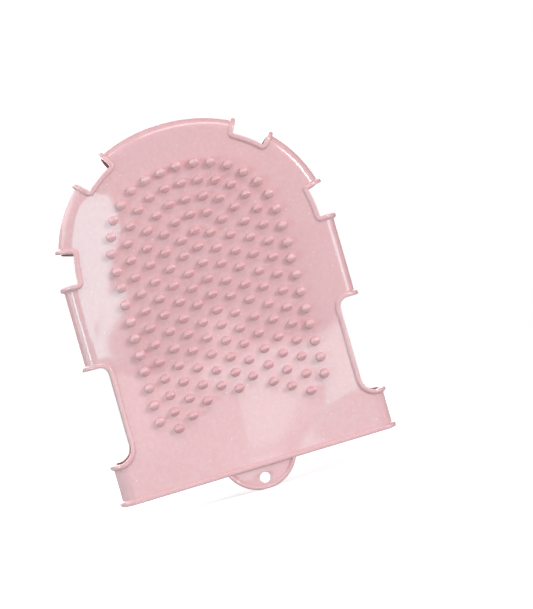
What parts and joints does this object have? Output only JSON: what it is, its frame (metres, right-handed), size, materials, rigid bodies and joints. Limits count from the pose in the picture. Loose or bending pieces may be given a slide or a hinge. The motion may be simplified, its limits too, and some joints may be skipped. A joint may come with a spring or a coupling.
{
  "type": "grooming glove",
  "caption": "Hollow moulded rubber grooming mitt with massage nubs on one face, bristle tufts set in domed bosses on the other, an open wrist, notched side walls and a hang tab.",
  "frame": {"origin": "middle of the wrist opening: on the plane of the wrist edge, halfway between the two panels and the two sides", "axes": "+Z from the wrist to the fingertips, -Y out of the nub panel, +Y out of the bristle panel, X across the width"},
  "size_m": [0.1728, 0.0445, 0.2285],
  "materials": {
    "rubber": "satin moulded soft rubber, pale pink",
    "bristle": "matte nylon filament, black",
    "anchor_wire": "flat galvanised wire"
  },
  "bodies": {
    "root": {"nub_panel": "rubber", "bristle_panel": "rubber", "hang_tab": "rubber", "tip_wall": "rubber", "upper_left_wall": "rubber", "upper_right_wall": "rubber", "left_side_wall": "rubber", "right_side_wall": "rubber", "left_cuff_wall": "rubber", "right_cuff_wall": "rubber", "tufts_row_1": "bristle", "tufts_row_2": "bristle", "tufts_row_3": "bristle", "tufts_row_4": "bristle", "tufts_centre": "bristle", "anchors_row_1": "anchor_wire", "anchors_row_2": "anchor_wire", "anchors_row_3": "anchor_wire", "anchors_row_4": "anchor_wire", "anchors_centre": "anchor_wire"}
  },
  "joints": []
}
